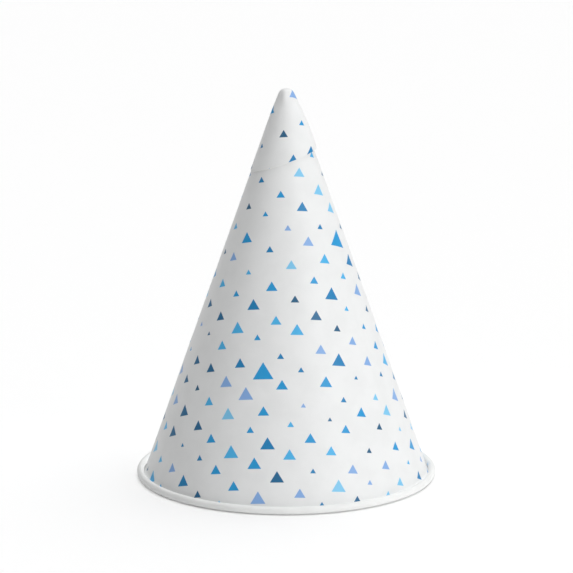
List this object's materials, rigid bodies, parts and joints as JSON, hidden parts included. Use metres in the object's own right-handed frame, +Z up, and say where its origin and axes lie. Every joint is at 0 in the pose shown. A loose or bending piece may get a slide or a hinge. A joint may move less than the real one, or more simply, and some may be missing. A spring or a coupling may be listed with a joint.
{
  "type": "cone paper cup",
  "caption": "Cone paper cup with a rolled rim, wound from a lapped blank and printed with scattered blue triangles, standing mouth down on its rim.",
  "frame": {"origin": "centre of the overall box at the underside of the rolled rim, on the plane the cup stands on", "axes": "+Z up along the cone's axis from the mouth to the tip; +X to the right; -Y to the front; the inner seam runs up the back (+Y)"},
  "size_m": [0.0731, 0.0732, 0.0955],
  "materials": {
    "cup_paper": "satin coated white paper, printed outside with small blue triangles"
  },
  "bodies": {
    "root": {"cone_cup": "cup_paper"}
  },
  "joints": []
}
